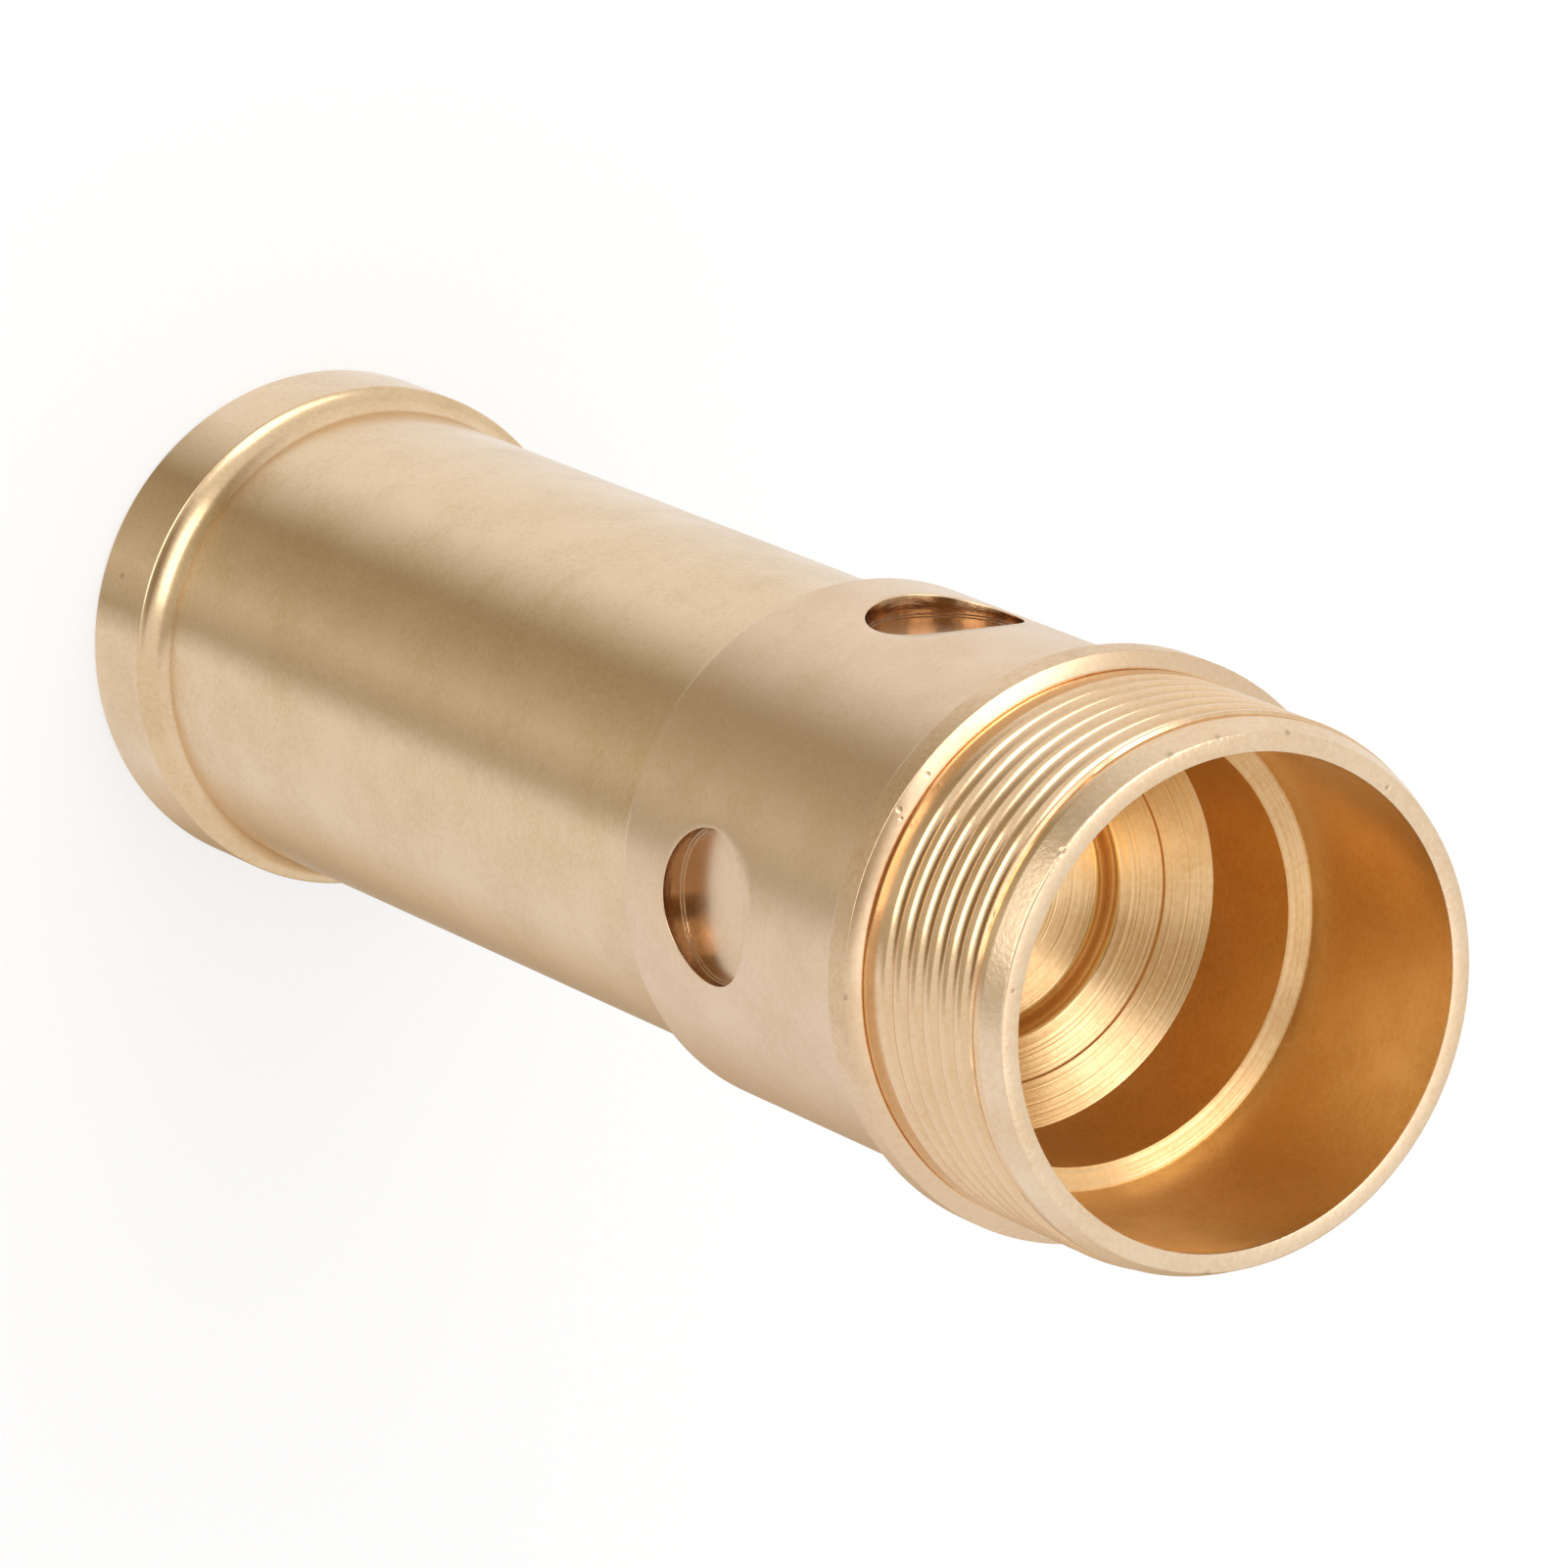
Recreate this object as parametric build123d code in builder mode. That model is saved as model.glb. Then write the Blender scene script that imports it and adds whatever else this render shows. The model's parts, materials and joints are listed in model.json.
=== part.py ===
# Turned brass sleeve with a threaded socket end, made in one piece.
# It stands on its head: +Z runs along the axis, from the head's rear face at Z = 0 up to the
# open, threaded mouth. The origin is the centre of the rear face. Units are millimetres.
# One of the four wrench pockets faces -Y. Depths are measured down from the mouth.

import os
from math import radians, sqrt, tan

from build123d import *

# Whole length and outside diameters
overall_length = 98.8
head_diameter = 29.3
stem_diameter = 26.9
body_diameter = 29.3
collar_diameter = 31.9

# Places along the axis
body_end_depth = 38.0
collar_end_depth = 14.65
collar_start_depth = 12.45
head_land_length = 5.4

# Outside edges
head_fillet_radius = 2.0
rear_edge_break = 0.3
body_edge_break = 0.2
collar_edge_break = 0.25

# External thread, M30 x 1.5, right-hand. Its run-out and its start are on the +X side
thread_diameter = 30.0
thread_pitch = 1.5
thread_depth = 0.72
thread_crest_width = 0.42
flank_angle = 30.0
thread_run_out_depth = 11.23
thread_turns = 6.22
cutter_clearance = 0.2

# Threaded end: lead-in chamfer, plain land, and the relief beside the collar
mouth_diameter = 28.6
lead_length = 1.35
land_diameter = 29.6
land_end_depth = 2.1
relief_width = 0.3
relief_depth = 0.35

# Stepped bore, each step ending in a drill point
bore_diameter = 26.5
bore_depth = 13.5
socket_diameter = 24.0
socket_depth = 21.1
recess_diameter = 15.0
recess_depth = 25.0
recess_edge_radius = 0.5
drill_point_angle = 118.0
web_step_diameter = 19.6
web_step_height = 0.2

# Blind wrench pockets round the body
pocket_count = 4
pocket_diameter = 8.45
pocket_floor_depth = 1.5
pocket_centre_depth = 29.5

# Radii and heights that follow from the sizes above
head_radius = head_diameter / 2
stem_radius = stem_diameter / 2
body_radius = body_diameter / 2
collar_radius = collar_diameter / 2
thread_radius = thread_diameter / 2
relief_radius = thread_radius - relief_depth
land_radius = land_diameter / 2
mouth_radius = mouth_diameter / 2
bore_radius = bore_diameter / 2
socket_radius = socket_diameter / 2
recess_radius = recess_diameter / 2
web_step_radius = web_step_diameter / 2

body_end_z = overall_length - body_end_depth
collar_bottom_z = overall_length - collar_end_depth
collar_top_z = overall_length - collar_start_depth
land_end_z = overall_length - land_end_depth
lead_end_z = overall_length - lead_length
bore_end_z = overall_length - bore_depth
socket_end_z = overall_length - socket_depth
recess_end_z = overall_length - recess_depth
pocket_z = overall_length - pocket_centre_depth
pocket_floor_radius = body_radius - pocket_floor_depth

# The concave fillet leaves the stem along the axis and runs out at the edge of the head's land
fillet_rise = head_radius - stem_radius
fillet_run = sqrt(head_fillet_radius**2 - (head_fillet_radius - fillet_rise) ** 2)
fillet_end_z = head_land_length + fillet_run

# A drill point falls by this much for each millimetre towards the axis
point_slope = 1 / tan(radians(drill_point_angle / 2))
web_step_z = socket_end_z - (socket_radius - web_step_radius) * point_slope
recess_mouth_z = web_step_z - web_step_height - (web_step_radius - recess_radius) * point_slope
recess_tip_z = recess_end_z - recess_radius * point_slope

# The thread groove, from its flat root out to just past the crests
flank_slope = tan(radians(flank_angle))
groove_half_width = (thread_pitch - thread_crest_width) / 2
cutter_root = groove_half_width - thread_depth * flank_slope
cutter_top = groove_half_width + cutter_clearance * flank_slope
thread_length = thread_turns * thread_pitch
thread_run_out_z = overall_length - thread_run_out_depth


def circles_at(part, height, radius):
    """Circular edges of a part that lie at a height and have a radius."""
    level = part.edges().filter_by(GeomType.CIRCLE).filter_by_position(Axis.Z, height, height)
    return level.filter_by(lambda edge: abs(edge.radius - radius) < 0.001)


with BuildPart() as turned_sleeve:
    # Outside, turned between the rear face and the mouth
    with BuildSketch(Plane.XZ):
        with BuildLine():
            Polyline(
                (stem_radius, fillet_end_z),
                (stem_radius, body_end_z),
                (body_radius, body_end_z),
                (body_radius, collar_bottom_z),
                (collar_radius, collar_bottom_z),
                (collar_radius, collar_top_z),
                (relief_radius, collar_top_z),
                (relief_radius, collar_top_z + relief_width),
                (thread_radius, collar_top_z + relief_width),
                (thread_radius, overall_length),
                (0, overall_length),
                (0, 0),
                (head_radius, 0),
                (head_radius, head_land_length),
            )
            RadiusArc((head_radius, head_land_length), (stem_radius, fillet_end_z), head_fillet_radius)
        make_face()
    revolve(axis=Axis.Z)

    # Edge breaks, where the tool turned off the sharp corners
    chamfer(circles_at(turned_sleeve, 0, head_radius), rear_edge_break)
    chamfer(circles_at(turned_sleeve, body_end_z, body_radius), body_edge_break)
    chamfer(circles_at(turned_sleeve, collar_bottom_z, collar_radius), collar_edge_break)
    chamfer(circles_at(turned_sleeve, collar_top_z, collar_radius), collar_edge_break)

    # Bore, ledge, socket and dished web, down to the recess at the centre
    with BuildSketch(Plane.XZ):
        with BuildLine():
            Polyline(
                (0, overall_length),
                (bore_radius, overall_length),
                (bore_radius, bore_end_z),
                (socket_radius, bore_end_z),
                (socket_radius, socket_end_z),
                (web_step_radius, web_step_z),
                (web_step_radius, web_step_z - web_step_height),
                (recess_radius, recess_mouth_z),
                (recess_radius, recess_end_z),
                (0, recess_tip_z),
                close=True,
            )
        make_face()
    revolve(axis=Axis.Z, mode=Mode.SUBTRACT)
    fillet(circles_at(turned_sleeve, recess_mouth_z, recess_radius), recess_edge_radius)

    # Flat-bottomed wrench pockets, each on its own plane at the height of its floor
    for pocket in range(pocket_count):
        facing = Plane.XZ.rotated((0, 0, pocket * 360 / pocket_count))
        with BuildSketch(facing.offset(pocket_floor_radius)):
            with Locations((0, pocket_z)):
                Circle(pocket_diameter / 2)
        extrude(amount=2 * pocket_floor_depth, mode=Mode.SUBTRACT)

    # Thread, cut by sweeping the groove up a helix from the run-out to the mouth
    with BuildLine(Plane.XY.offset(thread_run_out_z)) as thread_path:
        helix = Helix(pitch=thread_pitch, height=thread_length, radius=thread_radius)
    with BuildSketch(Plane(helix @ 0, x_dir=(1, 0, 0), z_dir=helix % 0)):
        with BuildLine():
            Polyline(
                (cutter_clearance, cutter_top),
                (-thread_depth, cutter_root),
                (-thread_depth, -cutter_root),
                (cutter_clearance, -cutter_top),
                close=True,
            )
        make_face()
    sweep(path=thread_path.line, is_frenet=True, mode=Mode.SUBTRACT)

    # Land and lead-in chamfer, turned on the threaded end
    with BuildSketch(Plane.XZ):
        with BuildLine():
            Polyline(
                (land_radius, land_end_z),
                (land_radius, lead_end_z),
                (mouth_radius, overall_length),
                (thread_radius + cutter_clearance, overall_length),
                (thread_radius + cutter_clearance, land_end_z),
                close=True,
            )
        make_face()
    revolve(axis=Axis.Z, mode=Mode.SUBTRACT)

turned_sleeve.part.label = "turned_sleeve"
os.makedirs("parts", exist_ok=True)
export_step(turned_sleeve.part, "parts/turned_sleeve.step")
print("volume", round(turned_sleeve.part.volume, 1))
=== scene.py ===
# %% [markdown]
# # A turned brass sleeve
# This lesson finishes one part: a long sleeve turned from brass bar, with a head at one end, a threaded
# socket at the other, and four shallow pockets for a pin wrench. The engineering model gives its sizes.
# Here the sleeve is modelled again with round edges, a smooth thread and the finish that a lathe leaves.
#
# Everything is in metres in the part's own frame. +Z runs along the axis, from the head on the table up to
# the open mouth, and -Y goes through the middle of one pocket. The finished sleeve has to stay inside it.

# %% Load the frame
import json
from math import asin, atan2, cos, hypot, pi, radians, sin, tan

import bmesh
import bpy
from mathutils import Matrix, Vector

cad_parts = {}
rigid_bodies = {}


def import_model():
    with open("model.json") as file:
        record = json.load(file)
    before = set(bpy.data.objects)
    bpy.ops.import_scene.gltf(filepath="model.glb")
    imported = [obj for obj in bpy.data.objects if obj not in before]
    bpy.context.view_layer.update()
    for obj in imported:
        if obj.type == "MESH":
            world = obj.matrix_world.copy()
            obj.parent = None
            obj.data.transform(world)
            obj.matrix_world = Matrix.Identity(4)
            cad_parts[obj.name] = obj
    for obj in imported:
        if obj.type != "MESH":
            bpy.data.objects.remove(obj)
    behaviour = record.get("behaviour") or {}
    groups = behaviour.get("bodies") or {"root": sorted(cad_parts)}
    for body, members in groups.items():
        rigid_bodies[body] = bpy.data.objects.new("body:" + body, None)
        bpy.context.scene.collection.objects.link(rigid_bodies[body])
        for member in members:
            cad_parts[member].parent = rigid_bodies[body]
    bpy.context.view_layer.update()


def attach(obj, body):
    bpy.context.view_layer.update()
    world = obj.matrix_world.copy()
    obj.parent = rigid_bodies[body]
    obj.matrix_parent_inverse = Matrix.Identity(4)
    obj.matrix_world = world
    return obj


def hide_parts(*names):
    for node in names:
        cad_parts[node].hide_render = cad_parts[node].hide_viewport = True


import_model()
MM = 0.001

# %% [markdown]
# ## Sizes of the outside
# A turner reads a drawing as diameters, and as depths from one end. The numbers here do the same: a radius
# for each step of the outside, and heights above the table worked out from depths below the mouth. All are
# in millimetres. A size that only one piece needs comes with that piece.

# %% Sizes that several pieces share
LENGTH = 98.8
HEAD, STEM, BODY, COLLAR, THREAD = 14.65, 13.45, 14.65, 15.95, 15.0
BODY_END = LENGTH - 38.0
COLLAR_END, COLLAR_START = LENGTH - 14.65, LENGTH - 12.45
STEPS = 192
print("sleeve:", LENGTH, "mm long,", 2 * COLLAR, "mm across its collar")
print("one of", STEPS, "steps round the thread:", round(2 * pi * THREAD / STEPS, 2), "mm")

# %% [markdown]
# ## Turning a section
# A lathe makes a shape by moving a tool along a line while the bar turns. `spin` does the same to a wire:
# each point of the section becomes a ring. A Screw modifier on a curve would do as well, but it makes one
# stretch only, and this sleeve has pieces that aren't round. Every stretch is spun in the same number of
# steps, so that neighbours share their rings and can be welded at the end.

# %% Helpers that draw a section and turn it
sleeve = bmesh.new()
# Made while the mesh is empty, because a layer that is added later moves the points in memory
around_rim = sleeve.verts.layers.float.new("angle round the pocket")


def draw(section):
    """Draws a wire of (radius, height) points, in millimetres, on the XZ plane."""
    points = [sleeve.verts.new((radius * MM, 0, height * MM)) for radius, height in section]
    return points + [sleeve.edges.new(pair) for pair in zip(points, points[1:])]


def turn(wires):
    """Spins wires once round the axis."""
    bmesh.ops.spin(sleeve, geom=wires, axis=(0, 0, 1), angle=2 * pi, steps=STEPS, use_merge=True)
    print("points so far:", len(sleeve.verts))


print("an empty mesh, to be turned in", STEPS, "steps")

# %% [markdown]
# ## Head and stem
# The head has a plain land, then a concave fillet of 2 mm radius that runs onto the stem, where a sharp
# corner would be weak. The fillet is an arc that starts along the stem, so only its angle at the land has
# to be found. The stem gets a few rings along its length, so that its faces aren't long slivers.

# %% Head, fillet and stem
HEAD_LAND, FILLET = 5.4, 2.0
FILLET_STEPS, STEM_RINGS = 8, 10
fillet_angle = asin((FILLET - HEAD + STEM) / FILLET)
fillet_top = HEAD_LAND + FILLET * cos(fillet_angle)
fillet = []
for step in range(FILLET_STEPS + 1):
    angle = fillet_angle + (pi / 2 - fillet_angle) * step / FILLET_STEPS
    fillet.append((STEM + FILLET - FILLET * sin(angle), fillet_top - FILLET * cos(angle)))
stem = [(STEM, fillet_top + (BODY_END - fillet_top) * i / STEM_RINGS) for i in range(STEM_RINGS + 1)]
# The quarters of the body start a little above the shoulder, so that its edge can be bevelled
QUARTER_BOTTOM = BODY_END + 0.3
turn(
    draw([(0, 0), (HEAD, 0), (HEAD, HEAD_LAND)])
    + draw(fillet)
    + draw(stem + [(BODY, BODY_END), (BODY, QUARTER_BOTTOM)])
)
print("fillet ends", round(fillet_top, 2), "mm above the table")

# %% [markdown]
# ## Collar
# The sleeve is screwed home against its collar. The collar's face on the threaded side slopes a little, so
# it mirrors the light above and not the thread beside it. Between the two is a narrow relief, where the
# threading tool runs out, and it shows as a thin dark line.

# %% Collar and relief
COLLAR_TOP, COLLAR_INNER = COLLAR_START - 0.35, 15.12
RELIEF, RELIEF_END = 14.94, COLLAR_START + 0.15
QUARTER_TOP = COLLAR_END - 0.25
turn(
    draw(
        [
            (BODY, QUARTER_TOP),
            (BODY, COLLAR_END),
            (COLLAR, COLLAR_END),
            (COLLAR, COLLAR_TOP),
            (COLLAR_INNER, COLLAR_START),
            (RELIEF, COLLAR_START),
            (RELIEF, RELIEF_END),
            (THREAD, RELIEF_END),
        ]
    )
)

# %% [markdown]
# ## Mouth and stepped bore
# The inside is drilled and bored in steps: a bore, a ledge that slopes inwards a little, a socket, a web
# with a fine step where one tool took over from another, and a recess. A drill leaves a cone of 118 degrees
# at the bottom of its hole, which gives the slope of the web and of the recess's floor. One wire runs from
# the end of the thread over the mouth and down all the steps to the point at the centre.

# %% Mouth, bore, ledge, socket, web and recess
LAND, MOUTH, BORE, SOCKET, WEB_STEP, RECESS = 14.8, 14.3, 13.25, 12.0, 9.8, 7.5
LEAD_END = LENGTH - 1.35
LEDGE, LEDGE_INNER = LENGTH - 13.35, LENGTH - 13.75
SOCKET_END, RECESS_END = LENGTH - 21.1, LENGTH - 25.0
WEB_STEP_HEIGHT = 0.2
point_slope = 1 / tan(radians(118 / 2))
web_step_z = SOCKET_END - (SOCKET - WEB_STEP) * point_slope
recess_mouth = web_step_z - WEB_STEP_HEIGHT - (WEB_STEP - RECESS) * point_slope
tip_z = RECESS_END - RECESS * point_slope
turn(
    draw(
        [
            (LAND, LEAD_END),
            (MOUTH, LENGTH),
            (BORE, LENGTH),
            (BORE, LEDGE),
            (SOCKET, LEDGE_INNER),
            (SOCKET, SOCKET_END),
            (WEB_STEP, web_step_z),
            (WEB_STEP, web_step_z - WEB_STEP_HEIGHT),
            (RECESS, recess_mouth),
            (RECESS, RECESS_END),
            (0, tip_z),
        ]
    )
)
print("the bore's lowest point is", round(LENGTH - tip_z, 2), "mm below the mouth")

# %% [markdown]
# ## Body with wrench pockets
# The four pockets are shallow round holes with flat floors, where a pin wrench grips. Cutting them with a
# boolean would leave long thin faces that shade badly. Instead each quarter of the body starts as a circle,
# the rim of its pocket, laid out flat as on a label that will be wrapped round the bar. On the label the
# rim is slightly wider than a circle, because a round hole in a curved wall is longer along the wall.

# %% The rim of one pocket, laid out flat
POCKET_Z, POCKET, POCKET_FLOOR = LENGTH - 29.5, 4.225, 13.15


def rim_point(around):
    """A point of the pocket's rim on the label: along the body's surface, and up."""
    return BODY * asin(POCKET * sin(around) / BODY), POCKET * cos(around)


rim = bmesh.ops.create_circle(sleeve, segments=STEPS, radius=POCKET * MM, cap_ends=False)["verts"]
rim_edges = list(dict.fromkeys(edge for vert in rim for edge in vert.link_edges))
for vert in rim:
    vert[around_rim] = atan2(vert.co.x, vert.co.y)
    vert.co = Vector((*rim_point(vert[around_rim]), 0)) * MM
print("points on the rim:", len(rim))

# %% [markdown]
# ### From the rim to a quarter of the body
# The rim's edge is pulled out in even loops to the rectangle that bounds the quarter. Each point keeps its
# angle round the pocket in a layer, so it knows its place on the rim and on the rectangle. At the end the
# label is wrapped onto the cylinder: the distance along it becomes an angle round the axis.

# %% One quarter of the body, wrapped round the bar
QUARTER_LOOPS = 12


def edge_point(around):
    """A point of the rectangle round the label, which is walked in even steps."""
    half, above, below = BODY * pi / 4, QUARTER_TOP - POCKET_Z, POCKET_Z - QUARTER_BOTTOM
    corners = [(-half, above), (half, above), (half, -below), (-half, -below), (-half, above)]
    side, share = divmod(((around + pi / 4) % (2 * pi)) / (pi / 2), 1)
    start, end = Vector(corners[int(side) % 4]), Vector(corners[int(side) % 4 + 1])
    return start.lerp(end, share)


def pull(edges):
    """Extrudes a loop of edges, and gives its new points and the new loop."""
    made = bmesh.ops.extrude_edge_only(sleeve, edges=edges)["geom"]
    verts = {item for item in made if isinstance(item, bmesh.types.BMVert)}
    lines = [item for item in made if isinstance(item, bmesh.types.BMEdge)]
    return verts, [line for line in lines if verts.issuperset(line.verts)]


def linked(start):
    """Every point that can be reached from the starting points along edges."""
    found = set(start)
    fresh = list(start)
    while fresh:
        near = {edge.other_vert(vert) for vert in fresh for edge in vert.link_edges}
        fresh = list(near - found)
        found.update(fresh)
    return found


loop = rim_edges
for step in range(1, QUARTER_LOOPS + 1):
    verts, loop = pull(loop)
    for vert in verts:
        inside, outside = Vector(rim_point(vert[around_rim])), edge_point(vert[around_rim])
        vert.co = inside.lerp(outside, step / QUARTER_LOOPS).to_3d() * MM
quarter = linked(rim)
for vert in quarter:
    angle, height = vert.co.x / (BODY * MM), vert.co.y
    vert.co = (BODY * MM * sin(angle), -BODY * MM * cos(angle), height + POCKET_Z * MM)
print("points in one quarter of the body:", len(quarter))

# %% [markdown]
# ### Pocket wall and floor
# The rim is pulled in to make the wall, with a fine step above the floor, where a roughing cutter stopped
# short of the finishing one. The floor closes it with one flat face. Then the quarter is copied three
# times: `spin` with `use_duplicate` places the copies round the axis.

# %% Pocket wall and floor, and the other three quarters
# Each loop of the wall as its radius, and its height above the floor
wall = [
    (POCKET, 0.42),
    (POCKET - 0.1, 0.36),
    (POCKET - 0.1, 0.28),
    (POCKET - 0.2, 0.22),
    (POCKET - 0.2, 0),
]
loop = rim_edges
for radius, above in wall:
    verts, loop = pull(loop)
    for vert in verts:
        around = vert[around_rim]
        place = (radius * sin(around), -POCKET_FLOOR - above, POCKET_Z + radius * cos(around))
        vert.co = Vector(place) * MM
bmesh.ops.contextual_create(sleeve, geom=loop)
quarter = linked(rim)
quarter_geom = [vert for vert in sleeve.verts if vert in quarter]
quarter_geom += [edge for edge in sleeve.edges if edge.verts[0] in quarter]
quarter_geom += [face for face in sleeve.faces if face.verts[0] in quarter]
bmesh.ops.spin(
    sleeve, geom=quarter_geom, axis=(0, 0, 1), angle=1.5 * pi, steps=3, use_duplicate=True
)
print("pockets:", sum(len(face.verts) == STEPS for face in sleeve.faces))

# %% [markdown]
# ## Thread
# The thread is M30 x 1.5: 30 mm across, climbing 1.5 mm in each turn. Its crests are well rounded, so the
# section of one pitch is an arc on each side of the crest, and then straight flanks down to a narrow root.
# Half a pitch is written down, and mirrored for the other half.

# %% One pitch of the thread, as (height from the crest, depth)
PITCH = 1.5
CREST_ROUND = 0.7
FLANK_END, ROOT_DEPTH = (0.72, 0.55), 0.58
half_pitch = []
for slope in (0, 12, 24, 36, 48, 60):
    angle = radians(slope)
    half_pitch.append((CREST_ROUND * sin(angle), CREST_ROUND * (1 - cos(angle))))
half_pitch += [FLANK_END, (PITCH / 2, ROOT_DEPTH)]
one_pitch = [(-up, depth) for up, depth in reversed(half_pitch[1:])] + half_pitch
print("points in one pitch:", len(one_pitch), "- groove depth:", ROOT_DEPTH, "mm")

# %% [markdown]
# ### Spinning the thread
# A short wire spun through many turns would do, but each step of a long spin is slow. A wire of nine
# pitches needs one turn only. It climbs by one pitch while it turns, which is what `dvec` is for. Its last
# ring of points then lies on the first one, shifted by a pitch, and `remove_doubles` welds the seam.

# %% The thread as one sheet
PITCHES = 9
RUN_OUT = LENGTH - 11.23
WELD = 1e-6
lowest = RUN_OUT - 1.5 * PITCH
path = [(THREAD - one_pitch[0][1], lowest - PITCH / 2)]
for number in range(PITCHES):
    path += [(THREAD - depth, lowest + number * PITCH + up) for up, depth in one_pitch[1:]]
before = set(sleeve.verts)
bmesh.ops.spin(
    sleeve,
    geom=draw(path),
    axis=(0, 0, 1),
    dvec=(0, 0, PITCH * MM / STEPS),
    angle=2 * pi,
    steps=STEPS,
)
sheet = [vert for vert in sleeve.verts if vert not in before]
bmesh.ops.remove_doubles(sleeve, verts=sheet, dist=WELD)
sheet = [vert for vert in sheet if vert.is_valid]
print("points in the thread:", len(sheet))

# %% [markdown]
# ### Fading the groove out
# The threading tool is drawn out of the metal while the bar still turns, so the groove doesn't stop dead: it
# gets shallow over part of a turn. Each point's place along the thread is counted in turns from the
# run-out, and close to either end the point is moved out to the crest.

# %% Fade the groove at both ends
THREAD_TURNS, FADE_TURNS = 6.05, 0.12


def smooth(share):
    """Eases a share from 0 to 1."""
    share = min(max(share, 0), 1)
    return share * share * (3 - 2 * share)


for vert in sheet:
    turn_share = (atan2(vert.co.y, vert.co.x) / (2 * pi)) % 1
    climb = (vert.co.z / MM - RUN_OUT) / PITCH
    along = turn_share + round(climb - turn_share)
    keep = smooth(along / FADE_TURNS) * smooth((THREAD_TURNS - along) / FADE_TURNS)
    radius = hypot(vert.co.x, vert.co.y) / MM
    wanted = THREAD - (THREAD - radius) * keep
    vert.co.x *= wanted / radius
    vert.co.y *= wanted / radius
print("turns with the full groove:", round(THREAD_TURNS - 2 * FADE_TURNS, 2))

# %% [markdown]
# ### Trimming the sheet
# The sheet is longer than the thread. `bisect_plane` cuts it level above the relief and below the mouth.
# Two more cuts lie just under and just over the edge of the plain land at the mouth, and all that stands
# proud above them is turned down to the land's radius.

# %% Cut the sheet level, and turn down the land
LAND_END = LENGTH - 2.1
SHEET_BOTTOM, SHEET_TOP = RELIEF_END + 0.2, LEAD_END - 0.25
thread_verts = set(sheet)


def cut(height, clear_above=False, clear_below=False):
    """Cuts the thread sheet level at a height, and may drop what is above or below the cut."""
    geom = [vert for vert in sleeve.verts if vert in thread_verts]
    geom += [edge for edge in sleeve.edges if edge.verts[0] in thread_verts]
    geom += [face for face in sleeve.faces if face.verts[0] in thread_verts]
    made = bmesh.ops.bisect_plane(
        sleeve,
        geom=geom,
        dist=1e-8,
        plane_co=(0, 0, height * MM),
        plane_no=(0, 0, 1),
        clear_outer=clear_above,
        clear_inner=clear_below,
    )["geom_cut"]
    thread_verts.update(item for item in made if isinstance(item, bmesh.types.BMVert))
    return [item for item in made if isinstance(item, bmesh.types.BMEdge)]


cut(LAND_END - 0.03)
cut(LAND_END + 0.05)
low_loop = cut(SHEET_BOTTOM, clear_below=True)
high_loop = cut(SHEET_TOP, clear_above=True)
for vert in [vert for vert in sleeve.verts if vert in thread_verts]:
    radius = hypot(vert.co.x, vert.co.y) / MM
    if vert.co.z / MM > LAND_END and radius > LAND:
        vert.co.x *= LAND / radius
        vert.co.y *= LAND / radius
print("edges in the trimmed ends:", len(low_loop), "and", len(high_loop))

# %% [markdown]
# ## Joining the stretches
# The ends of the thread have a few points more than a plain ring, so they are bridged to their neighbours.
# Everything else shares its rings already, and `remove_doubles` welds them. Some stretches were turned
# inside out by `spin`, so the normals are worked out again once the mesh is whole.

# %% Bridge, weld and turn the faces outwards
RING_MARGIN = 0.003


def ring(radius, height):
    """The edges of the ring that has a radius and a height, in millimetres."""

    def on_it(vert):
        off = abs(hypot(vert.co.x, vert.co.y) / MM - radius) + abs(vert.co.z / MM - height)
        return off < RING_MARGIN

    return [edge for edge in sleeve.edges if on_it(edge.verts[0]) and on_it(edge.verts[1])]


bmesh.ops.bridge_loops(sleeve, edges=low_loop + ring(THREAD, RELIEF_END))
bmesh.ops.bridge_loops(sleeve, edges=high_loop + ring(LAND, LEAD_END))
bmesh.ops.remove_doubles(sleeve, verts=sleeve.verts, dist=2 * WELD)
bmesh.ops.recalc_face_normals(sleeve, faces=sleeve.faces)
print("open edges:", sum(not edge.is_manifold for edge in sleeve.edges))

# %% [markdown]
# ## Broken edges
# No edge on a turned part is perfectly sharp. A narrow bevel on each ring catches the light as a thin bright
# line, which is most of what makes the part look machined. A Bevel modifier would give all edges one
# width, and here each edge has its own, so `bevel` works through a list of rings.

# %% Bevel the rings, as (radius, height, width)
ROUNDED = 0.3
breaks = [
    (HEAD, 0, 0.3),
    (HEAD, HEAD_LAND, 0.1),
    (BODY, BODY_END, 0.12),
    (COLLAR, COLLAR_END, 0.25),
    (COLLAR, COLLAR_TOP, 0.04),
    (COLLAR_INNER, COLLAR_START, 0.04),
    (THREAD, RELIEF_END, 0.03),
    (LAND, LEAD_END, 0.1),
    (MOUTH, LENGTH, 0.12),
    (BORE, LENGTH, 0.1),
    (SOCKET, LEDGE_INNER, 0.06),
    (WEB_STEP, web_step_z, 0.06),
    (RECESS, recess_mouth, 0.5),
    (RECESS, RECESS_END, 0.4),
]
for radius, height, width in breaks:
    bmesh.ops.bevel(
        sleeve,
        geom=ring(radius, height),
        offset=width * MM,
        segments=4 if width > ROUNDED else 2,
        affect="EDGES",
        profile=0.5,
        material=-1,
    )
print("rings bevelled:", len(breaks), "- faces:", len(sleeve.faces))

# %% [markdown]
# ### Rims of the pockets
# The pockets' rims aren't level rings, so they are found another way: they are the only sharp edges at the
# body's full radius near the pockets' height. The burr that the cutter left there was brushed off, and only
# a hair's breadth of rounding remains.

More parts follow.
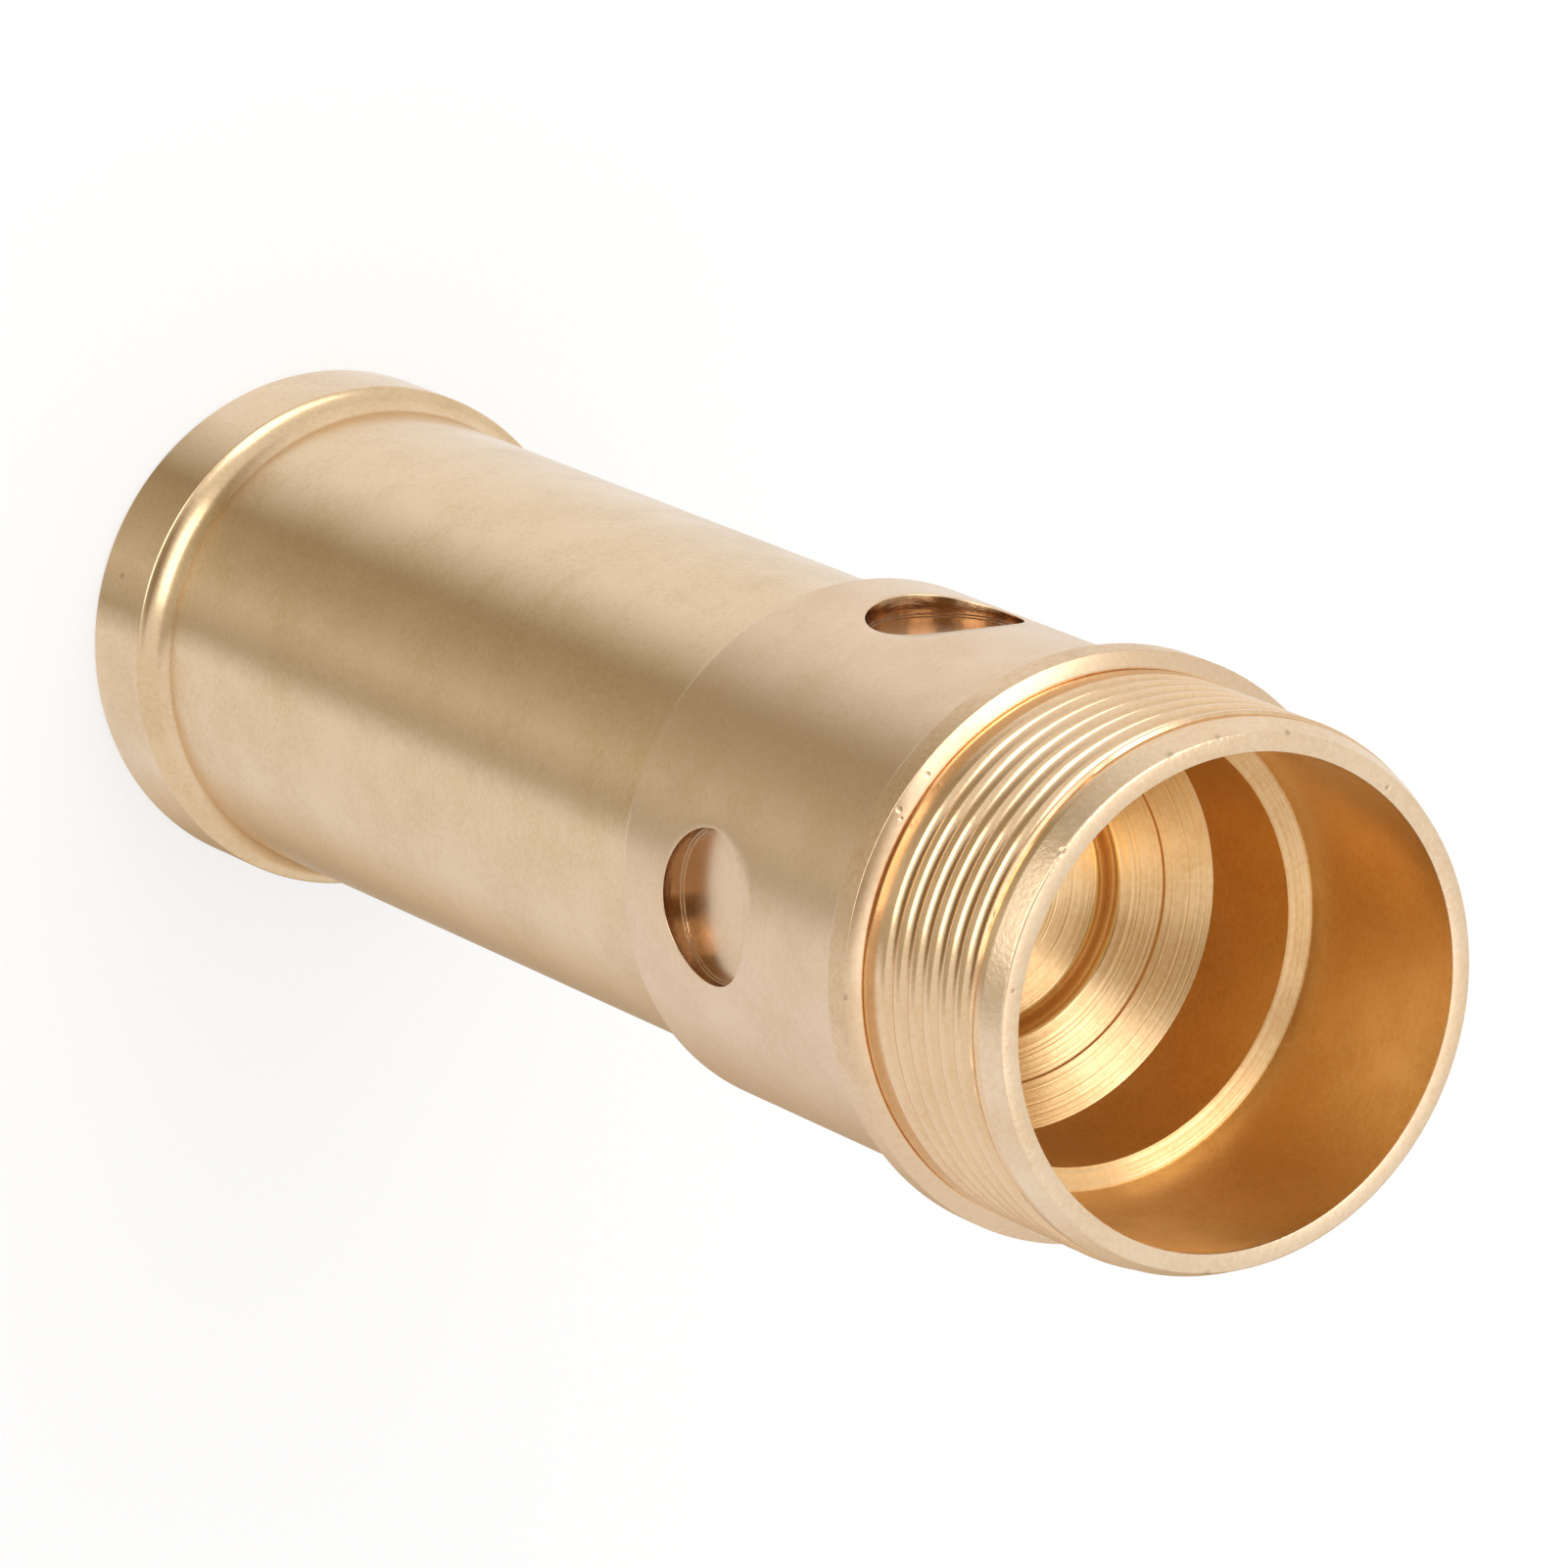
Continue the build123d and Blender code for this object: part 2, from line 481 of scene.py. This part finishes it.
# %% Bevel the rims of the pockets
RIM_WIDTH, RIM_REACH, SHARP = 0.07, 5.0, 1.0
rims = []
for edge in sleeve.edges:
    near = abs(edge.verts[0].co.z / MM - POCKET_Z) < RIM_REACH
    outermost = min(hypot(vert.co.x, vert.co.y) for vert in edge.verts) > (BODY - 0.02) * MM
    if near and outermost and edge.is_manifold and edge.calc_face_angle(0) > SHARP:
        rims.append(edge)
bmesh.ops.bevel(
    sleeve, geom=rims, offset=RIM_WIDTH * MM, segments=2, affect="EDGES", profile=0.5, material=-1
)
print("edges in the pockets' rims:", len(rims), "- faces:", len(sleeve.faces))

# %% [markdown]
# ## Which finish goes where
# Each tool leaves its own finish, and eight of them show. The outside was turned, finely on the stem and
# the body and more coarsely on the collar. The thread was cut, the mouth and the faces inside were faced
# from the centre out, the walls of the bore were bored, and the pockets were milled. Each face gets a
# number by where it is.

# %% Number the finishes
SATIN, FINE, COARSE, THREAD_CUT, FACED, COARSELY_FACED, BORED, MILLED = range(8)


def finish_of(face):
    """The number of the finish that belongs where a face is. Small margins take in the bevels."""
    middle = face.calc_center_median()
    radius, height = hypot(middle.x, middle.y) / MM, middle.z / MM
    in_pocket = abs(height - POCKET_Z) < POCKET and POCKET_FLOOR + 0.01 < radius < BODY - 0.08
    pocket_floor = radius > BORE - 0.3 and height < LEDGE - 1
    if height > LEAD_END - 0.05:
        return FACED if radius > BORE - 0.02 else BORED
    if in_pocket and len(face.verts) == 4:
        return MILLED
    if radius < BORE + 0.02 and height > tip_z - 1 and not in_pocket and not pocket_floor:
        # Painted light: the recess wall and fillet take the paler satin finish, so the recessed wall reads
        # lighter
        if abs(radius - RECESS) < 0.45 and height < recess_mouth + 0.25:
            return SATIN
        return BORED if radius > SOCKET - 0.3 and abs(face.normal.z) < 0.3 else COARSELY_FACED
    if height > COLLAR_START:
        return THREAD_CUT
    if height > COLLAR_END + 0.3 and radius > COLLAR - 0.02:
        return COARSE
    return FINE if height > BODY_END - 0.01 else SATIN


for face in sleeve.faces:
    face.smooth = True
    face.material_index = finish_of(face)
print("faces of each finish:", [sum(face.material_index == n for face in sleeve.faces) for n in range(8)])

# %% [markdown]
# ## The mesh as an object
# The faces are shaded smooth, apart from edges sharper than 38 degrees. A Weighted Normal modifier lets the
# large faces decide the shading, so a flat face stays flat right up to its bevel.

# %% Make the object
mesh = bpy.data.meshes.new("turned_sleeve_skin")
sleeve.to_mesh(mesh)
sleeve.free()
mesh.set_sharp_from_angle(angle=radians(38))
skin = bpy.data.objects.new("turned_sleeve_skin", mesh)
bpy.context.collection.objects.link(skin)
weighted = skin.modifiers.new("Weighted normals", "WEIGHTED_NORMAL")
weighted.keep_sharp = True
print("triangles:", sum(len(polygon.vertices) - 2 for polygon in mesh.polygons))

# %% [markdown]
# ## Two small helpers for materials
# Blender works with linear colour, while a colour is usually written as an sRGB hex code, so one function
# converts it. Another adds a node with its settings and links, because each node takes the same three
# steps: make it, set it, and wire it up. Sockets are named where the name is unique. The Mix node has an A
# and a B for each kind of data, so its colours are inputs 6 and 7, and its plain numbers 2 and 3.

# %% Helpers for colours and nodes
def hex_colour(code):
    """An sRGB hex colour as the linear colour that Blender works with."""
    parts = [int(code[i : i + 2], 16) / 255 for i in (1, 3, 5)]
    return [c / 12.92 if c <= 0.04045 else ((c + 0.055) / 1.055) ** 2.4 for c in parts] + [1]


def add(material, kind, inputs=(), **settings):
    """Adds a node with its settings. An input is a value, or an output socket to link."""
    node = material.node_tree.nodes.new(kind)
    for name, value in settings.items():
        setattr(node, name, value)
    for socket, value in dict(inputs).items():
        if isinstance(value, bpy.types.NodeSocket):
            material.node_tree.links.new(value, node.inputs[socket])
        else:
            node.inputs[socket].default_value = value
    return node


print("mid grey #808080 is", round(hex_colour("#808080")[0], 3), "in linear light")

# %% [markdown]
# ## Nicks
# Brass is soft, and loose parts knock against each other in a box, mostly edge against edge. The mouth and
# the collar have small dents for that reason. Each is a spot on the surface and a size. In the material it
# is a cone of depth round that spot, which dents the surface and darkens its colour a little.

# %% Where the nicks are, as (place, size) in millimetres
NICKS = [
    ((-9.23, -10.92, 98.75), 0.3),
    ((-13.58, -4.49, 98.6), 0.3),
    ((-14.2, -1.6, 98.6), 0.25),
    ((-14.06, 2.63, 98.7), 0.25),
    ((14.23, -1.40, 98.6), 0.35),
    ((-10.49, 8.81, 98.8), 0.22),
    ((-2.29, -13.66, 98.8), 0.16),
    ((-10.64, -11.34, 86.3), 0.22),
    ((-8.94, -12.96, 86.25), 0.25),
    ((-8.48, -12.9, 86.3), 0.16),
    ((0.75, -15.93, 86.10), 0.22),
    ((1.40, -14.58, 83.90), 0.2),
    ((-4.31, -14.00, 2.30), 0.25),
]
NICK_DEPTH = 0.04


def nicks(material, place):
    """How far down a nick each point lies, from 0 at its edge to 1 at its middle."""
    depth = 0.0
    for spot, size in NICKS:
        middle = [value * MM for value in spot]
        away = add(material, "ShaderNodeVectorMath", {0: place, 1: middle}, operation="DISTANCE")
        near = add(
            material,
            "ShaderNodeMapRange",
            {"Value": away.outputs["Value"], "From Max": size * MM, "To Min": 1.0, "To Max": 0.0},
        )
        deepest = add(material, "ShaderNodeMath", {0: near.outputs[0], 1: depth}, operation="MAXIMUM")
        depth = deepest.outputs[0]
    return depth


print("nicks:", len(NICKS), "- the largest is", 2 * max(size for spot, size in NICKS), "mm across")

# %% [markdown]
# ## Tool marks and grain
# Each pass of the tool leaves a fine groove round the part. The grooves are a noise that changes only with
# the distance from the axis and with the height, so it makes rings on flat faces and hoops on walls. A fine
# feed is about 0.1 mm, which is too fine to show, so the grooves are drawn 0.24 to 0.5 mm wide. The metal's
# grain is finer still, and is drawn at 0.3 mm. Three Bump nodes in a row dent the surface: the marks, then
# the grain, then the nicks.

# %% Dent the surface
GRAIN = 0.3


def cut_surface(material, place, grain, nick, mark_width, mark_depth, grain_depth):
    """The way the surface faces, dented by tool marks round Z, by grain and by nicks."""
    flat = add(material, "ShaderNodeVectorMath", {0: place, 1: (1, 1, 0)}, operation="MULTIPLY")
    radius = add(material, "ShaderNodeVectorMath", {0: flat.outputs[0]}, operation="LENGTH")
    height = add(material, "ShaderNodeSeparateXYZ", {0: place}).outputs["Z"]
    section = add(material, "ShaderNodeCombineXYZ", {"X": radius.outputs["Value"], "Y": height})
    marks = add(
        material,
        "ShaderNodeTexNoise",
        {"Vector": section.outputs[0], "Scale": 1 / (mark_width * MM), "Detail": 3, "Roughness": 0.65},
        noise_dimensions="2D",
    )
    rings = add(
        material, "ShaderNodeBump", {"Distance": mark_depth * MM, "Height": marks.outputs[0]}
    )
    grained = add(
        material,
        "ShaderNodeBump",
        {"Distance": grain_depth * MM, "Height": grain, "Normal": rings.outputs[0]},
    )
    dented = add(
        material,
        "ShaderNodeBump",
        {"Distance": NICK_DEPTH * MM, "Height": nick, "Normal": grained.outputs[0]},
        invert=True,
    )
    return dented.outputs[0]


print("grain drawn at", GRAIN, "mm, nicks", NICK_DEPTH, "mm deep")

# %% [markdown]
# ## Tarnish
# Bare brass begins to tarnish where it is handled, in soft blotches some 5 mm across. They are mixed with
# the grain, so that their edges break up, and turn the colour from clean brass to a duller one. In the
# nicks the colour is darkened, up to halfway towards a dark brown.

# %% Colour the brass
BLOTCH = 5.0
NICK_BROWN = "#5A432C"


def tarnish(material, blotches, grain, nick, colour, stain):
    """The colour, from clean brass to tarnished, and darker in the nicks."""
    mottle = add(material, "ShaderNodeMix", {0: 0.45, 2: blotches, 3: grain}, data_type="FLOAT")
    amount = add(
        material,
        "ShaderNodeMapRange",
        {"Value": mottle.outputs[0], "From Min": 0.44, "From Max": 0.66, "To Max": 0.9},
    )
    tint = add(
        material,
        "ShaderNodeMix",
        {0: amount.outputs[0], 6: hex_colour(colour), 7: hex_colour(stain)},
        data_type="RGBA",
    )
    # Darker in the nicks, up to halfway towards a dark brown
    nick_darkening = add(material, "ShaderNodeMath", {0: nick, 1: 0.5}, operation="MULTIPLY")
    darkened = add(
        material,
        "ShaderNodeMix",
        {0: nick_darkening.outputs[0], 6: tint.outputs[2], 7: hex_colour(NICK_BROWN)},
        data_type="RGBA",
    )
    return darkened.outputs[2]


print("blotches:", BLOTCH, "mm across")

# %% [markdown]
# ## Brass
# Free-cutting brass is a pale yellow metal. Straight from the lathe it is satin, not polished, and its
# gloss is drawn out across the grooves: along the stem, and from the middle outwards on a face. That is an
# anisotropic gloss, so its tangent is the direction round the axis, turned by a quarter. Tarnished spots
# are a little rougher.

# %% The brass
def turned_brass(name, colour, stain, roughness, mark_width, mark_depth, grain_depth, anisotropy):
    """A brass whose tool marks run round Z. Widths and depths are in millimetres."""
    material = bpy.data.materials.new(name)
    material.use_nodes = True
    shader = material.node_tree.nodes["Principled BSDF"]
    place = add(material, "ShaderNodeTexCoord").outputs["Object"]
    grain = add(
        material,
        "ShaderNodeTexNoise",
        {"Vector": place, "Scale": 1 / (GRAIN * MM), "Detail": 2, "Roughness": 0.6},
    ).outputs[0]
    blotches = add(
        material,
        "ShaderNodeTexNoise",
        {"Vector": place, "Scale": 1 / (BLOTCH * MM), "Detail": 6, "Roughness": 0.62},
    ).outputs[0]
    nick = nicks(material, place)
    facing = cut_surface(material, place, grain, nick, mark_width, mark_depth, grain_depth)
    shown = tarnish(material, blotches, grain, nick, colour, stain)
    rough = {"From Min": 0.35, "From Max": 0.7, "To Min": roughness, "To Max": roughness * 1.3}
    spread = add(material, "ShaderNodeMapRange", {"Value": blotches, **rough})
    around = add(
        material, "ShaderNodeVectorMath", {0: (0, 0, 1), 1: place}, operation="CROSS_PRODUCT"
    )
    along = add(material, "ShaderNodeVectorMath", {0: around.outputs[0]}, operation="NORMALIZE")
    links = material.node_tree.links
    links.new(shown, shader.inputs["Base Color"])
    links.new(spread.outputs[0], shader.inputs["Roughness"])
    links.new(facing, shader.inputs["Normal"])
    links.new(along.outputs[0], shader.inputs["Tangent"])
    shader.inputs["Metallic"].default_value = 1
    shader.inputs["Anisotropic"].default_value = anisotropy
    shader.inputs["Anisotropic Rotation"].default_value = 0.25
    print(name, "- marks", mark_width, "mm wide, drawn", mark_depth, "mm deep")
    return material


# %% [markdown]
# ## The finishes
# All eight are one metal, so they differ in little: how rough the cut is, how deep its marks are, and how
# much of the room round them they gather. Their base colours differ too, and three of those differences
# are painted light: a paler straw on the faced mouth is a painted highlight of the light above, a deeper
# gold in the bore is a painted reflection of brass in brass, and a brown on the pockets' walls is painted
# shade. They are added to the mesh in the order in which the faces were numbered.

# %% Make the finishes and give them to the sleeve
finishes = [
    # A fine feed with a round-nosed tool: a soft sheen, with long bands of light down the stem
    turned_brass("satin turned brass", "#E6C9A2", "#D9BA8D", 0.2, 0.3, 0.0015, 0.002, 0.3),
    # The same cut on the body, handled more: a little duller and pinker
    turned_brass("finely turned brass", "#E7CAA8", "#DDBD96", 0.25, 0.3, 0.0015, 0.003, 0.2),
    # A quick cut that was left alone: dull and slightly mottled
    turned_brass("coarsely turned brass", "#EACBA4", "#D4B288", 0.3, 0.3, 0.004, 0.012, 0.2),
    # Flanks burnished by the threading tool: the glossiest of all, with hard bright lines
    turned_brass("thread-cut brass", "#EDCBA2", "#E2BC90", 0.14, 0.25, 0.001, 0.003, 0.0),
    # The mouth, faced across: painted paler, a painted highlight of the light above, with an even and
    # slightly grainy shine
    turned_brass("faced brass", "#F1D7B6", "#E6C6A0", 0.26, 0.3, 0.006, 0.02, 0.7),
    # Faces inside, cut from the centre out: plain rings, and fans of light as on a record
    turned_brass("coarsely faced brass", "#EAC99A", "#DDB682", 0.27, 0.24, 0.036, 0.003, 0.75),
    # Walls of the bore and the socket: painted a deeper gold, a painted reflection of walls that mirror each
    # other
    turned_brass("bored brass in painted deeper gold", "#EBC88C", "#DDB26C", 0.28, 0.5, 0.004, 0.006, 0.2),
    # Walls of the pockets, cut by the side of an end mill: shiny, with glints, and painted brown as painted
    # shade
    turned_brass("milled brass in painted shade", "#B08762", "#94704E", 0.13, 0.25, 0.012, 0.004, 0.0),
]
for finish in finishes:
    mesh.materials.append(finish)
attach(skin, "root")
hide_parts("turned_sleeve")
print("finishes on the sleeve:", len(mesh.materials))

# %% [markdown]
# ## Table
# The part stands on a wide pale table. The camera sees it white, and a part of it that is lit as matt paper
# keeps the soft shadow. A metal shows what is round it, and in reflections the table shows painted
# reflection tones that aren't lit: darker in front, and duller on the far left, which paint darker and
# lighter bands onto the brass. It is clear from below, so that the rear face can be looked at too, and it
# lies a hair under the part, so that the two never touch.

# %% Pale table
GAP = 0.02
PAPER_WHITE = 0.62
bpy.ops.mesh.primitive_plane_add(size=6, location=(0, 0, -GAP * MM))
table = bpy.context.object
table.name = "table"
paper = bpy.data.materials.new("pale table with painted reflections")
paper.use_nodes = True
matt = paper.node_tree.nodes["Principled BSDF"]
matt.inputs["Base Color"].default_value = hex_colour("#F7F7F7")
matt.inputs["Roughness"].default_value = 0.9
rays = add(paper, "ShaderNodeLightPath").outputs
where = add(paper, "ShaderNodeTexCoord").outputs["Object"]
print("the camera sees", PAPER_WHITE, "of the table as plain white, and the rest with its shadow")

# %% [markdown]
# ### Painted reflection tones round the table
# A radial gradient reads the direction round the part, and a colour ramp turns it into the painted tones
# that the brass mirrors. A round mirror squeezes what is far away: a far point shows at half its angle from
# the front, and one right beside the part at its whole angle. So the angle is stretched by 2r / (2r - HEAD),
# where r is the distance from the axis. That is 2 beside the part and 1 far off, and the painted bands line
# up from the head to the collar.

# %% Painted reflection tones of the table, by direction round the part in degrees from the front
FRONT = -115.5
# Painted reflection tones: darker in front and duller on the far left, mirrored by the brass as bands
PAINTED_REFLECTION_TONES = [
    (180, "#FFFFFF"),
    (90, "#FFFFFF"),
    (73, "#FBFCFF"),
    (54, "#DAD7D2"),
    (35, "#A89D88"),
    (12, "#BFB6A1"),
    (-9, "#D9D4C6"),
    (-30, "#BDB7AA"),
    (-44, "#F8F9FD"),
    (-105, "#F6F6FA"),
    (-129, "#E4D8C8"),
    (-152, "#CCBAA2"),
    (-172, "#B8A488"),
    (-180, "#C8BAAA"),
]
facing_front = add(
    paper, "ShaderNodeMapping", {"Vector": where, "Rotation": (0, 0, radians(-FRONT))}
)
sweep = add(
    paper, "ShaderNodeTexGradient", {"Vector": facing_front.outputs[0]}, gradient_type="RADIAL"
)
far = add(paper, "ShaderNodeVectorMath", {0: where}, operation="LENGTH").outputs["Value"]
twice = add(paper, "ShaderNodeMath", {0: far, 1: 2.0}, operation="MULTIPLY").outputs[0]
beside = add(paper, "ShaderNodeMath", {0: twice, 1: HEAD * MM}, operation="SUBTRACT").outputs[0]
stretch = add(paper, "ShaderNodeMath", {0: twice, 1: beside}, operation="DIVIDE").outputs[0]
off_front = add(paper, "ShaderNodeMath", {0: sweep.outputs[0], 1: 0.5}, operation="SUBTRACT")
seen_at = add(
    paper,
    "ShaderNodeMath",
    {0: off_front.outputs[0], 1: stretch, 2: 0.5},
    operation="MULTIPLY_ADD",
)
painted_tones = add(paper, "ShaderNodeValToRGB", {"Fac": seen_at.outputs[0]})
while len(painted_tones.color_ramp.elements) < len(PAINTED_REFLECTION_TONES):
    painted_tones.color_ramp.elements.new(0.5)
for element, (around, code) in zip(painted_tones.color_ramp.elements, PAINTED_REFLECTION_TONES):
    element.position = 0.5 - around / 360
for element, (around, code) in zip(painted_tones.color_ramp.elements, PAINTED_REFLECTION_TONES):
    element.color = hex_colour(code)
print("tones round the table:", len(painted_tones.color_ramp.elements))

# %% [markdown]
# ### White to the camera, painted tones in reflections
# The Light Path node says what kind of ray has hit the table. A ray from metal sees only a glow that isn't
# lit, in the painted reflection tones, a ray from the camera sees mostly that glow in plain white, and
# light that bounces softly sees only the matt paper. Right under the part the glow is left white, as a
# painted reflection for its rear face.

# %% Put the table together
WHITE_UNDER = 14.3
beyond = add(
    paper, "ShaderNodeMapRange", {"Value": far, "From Min": WHITE_UNDER * MM, "From Max": HEAD * MM}
)
# Only rays from the metal see the painted tones, and not right under the part
toned = add(
    paper,
    "ShaderNodeMath",
    {0: rays["Is Glossy Ray"], 1: beyond.outputs[0]},
    operation="MULTIPLY",
)
seen = add(
    paper,
    "ShaderNodeMix",
    {0: toned.outputs[0], 6: (1, 1, 1, 1), 7: painted_tones.outputs["Color"]},
    data_type="RGBA",
)
# An unlit glow: plain white to the camera, and painted reflection tones to the metal
glow = add(paper, "ShaderNodeEmission", {"Color": seen.outputs[2], "Strength": 1.0})
share = add(
    paper, "ShaderNodeMath", {0: rays["Is Camera Ray"], 1: PAPER_WHITE}, operation="MULTIPLY"
)
for ray in ("Is Glossy Ray", "Is Transmission Ray"):
    share = add(paper, "ShaderNodeMath", {0: rays[ray], 1: share.outputs[0]}, operation="MAXIMUM")
above = add(
    paper, "ShaderNodeMixShader", {0: share.outputs[0], 1: matt.outputs[0], 2: glow.outputs[0]}
)
from_below = add(paper, "ShaderNodeNewGeometry").outputs["Backfacing"]
clear = add(paper, "ShaderNodeBsdfTransparent")
top = add(paper, "ShaderNodeMixShader", {0: from_below, 1: above.outputs[0], 2: clear.outputs[0]})
paper.node_tree.links.new(
    top.outputs[0], paper.node_tree.nodes["Material Output"].inputs["Surface"]
)
table.data.materials.append(paper)
print("nodes in the table's material:", len(paper.node_tree.nodes))

# %% [markdown]
# ## Sky
# A pale sky lights the part evenly from all sides, close to white, so that its colours look as they are
# written. Whoever stands at the camera keeps a patch of it dark, which brings a soft dark band onto the
# brass, and the ceiling right above is a little brighter. The camera itself sees plain white.

# %% Pale sky with a dark patch
def direction(around, elevation):
    """A direction from the part, by degrees round from the front and degrees up."""
    turn_by, up = radians(FRONT - around), radians(elevation)
    return Vector((cos(up) * cos(turn_by), cos(up) * sin(turn_by), sin(up)))


world = bpy.data.worlds.new("pale studio")
bpy.context.scene.world = world
world.use_nodes = True
sky = world.node_tree.nodes["Background"]
look = add(world, "ShaderNodeTexCoord").outputs["Generated"]
facing = add(world, "ShaderNodeVectorMath", {0: look, 1: direction(-5, 60)}, operation="DOT_PRODUCT")
patch = add(
    world,
    "ShaderNodeMapRange",
    {"Value": facing.outputs["Value"], "From Min": cos(radians(21)), "From Max": cos(radians(12))},
    interpolation_type="SMOOTHSTEP",
)
ceiling = add(world, "ShaderNodeSeparateXYZ", {0: look}).outputs["Z"]
level = add(
    world,
    "ShaderNodeMapRange",
    {"Value": ceiling, "From Min": 0.86, "From Max": 1.0, "To Min": 0.93, "To Max": 1.8},
)
shade = add(
    world,
    "ShaderNodeMix",
    {0: patch.outputs[0], 6: hex_colour("#FAFAFA"), 7: hex_colour("#877453")},
    data_type="RGBA",
)
by_camera = add(world, "ShaderNodeLightPath").outputs["Is Camera Ray"]
shade = add(
    world, "ShaderNodeMix", {0: by_camera, 6: shade.outputs[2], 7: (1, 1, 1, 1)}, data_type="RGBA"
)
level = add(world, "ShaderNodeMix", {0: by_camera, 2: level.outputs[0], 3: 1.0}, data_type="FLOAT")
world.node_tree.links.new(shade.outputs[2], sky.inputs["Color"])
world.node_tree.links.new(level.outputs[0], sky.inputs["Strength"])
print("the dark patch faces", [round(part, 2) for part in direction(-5, 60)])

# %% [markdown]
# ## Softboxes
# Two square lamps stand in for a studio's softboxes. One, high and to the side, gives the bright fan
# in the web and the white lines on the thread. The other is low in front. A lamp's brightness is written
# as the shade it has in a mirror, where 1 is white, and its power follows from its area.

# %% Softboxes
def softbox(name, around, elevation, distance, size, brightness):
    """A square lamp that faces the part. Angles in degrees, lengths in metres."""
    lamp = bpy.data.lights.new(name, "AREA")
    lamp.size = size
    lamp.energy = brightness * pi * size * size
    holder = bpy.data.objects.new(name, lamp)
    out = direction(around, elevation)
    holder.location = out * distance + Vector((0, 0, 0.06))
    holder.rotation_euler = out.to_track_quat("Z", "Y").to_euler()
    holder.visible_camera = False
    bpy.context.collection.objects.link(holder)
    print(name, "-", round(lamp.energy, 2), "W from", [round(part, 2) for part in holder.location])


softbox("softbox", 72, 52, 0.8, 0.5, 2.1)
softbox("low softbox", 2, 10, 0.9, 0.6, 1.9)

# %% [markdown]
# ## Camera
# The camera looks down steeply at the mouth from far away through a long lens, which keeps the far end of
# the sleeve nearly as wide as the near one. It is rolled, so that the part lies across the picture. The
# focal length is written as a share of the picture's width.

# %% Camera
SENSOR = 36.0
FOCAL_SHARE = 12560.83 / 1601
lens = bpy.data.cameras.new("camera")
lens.sensor_width = SENSOR
lens.lens = SENSOR * FOCAL_SHARE
camera = bpy.data.objects.new("camera", lens)
camera.location = (-0.159938, -0.335316, 0.611126)
camera.rotation_euler = (radians(-14.31348), radians(-30.72968), radians(91.26083))
bpy.context.collection.objects.link(camera)
bpy.context.scene.camera = camera
bpy.context.scene.view_settings.view_transform = "Standard"
print("lens:", round(lens.lens, 1), "mm, from", round(camera.location.length, 3), "m away")
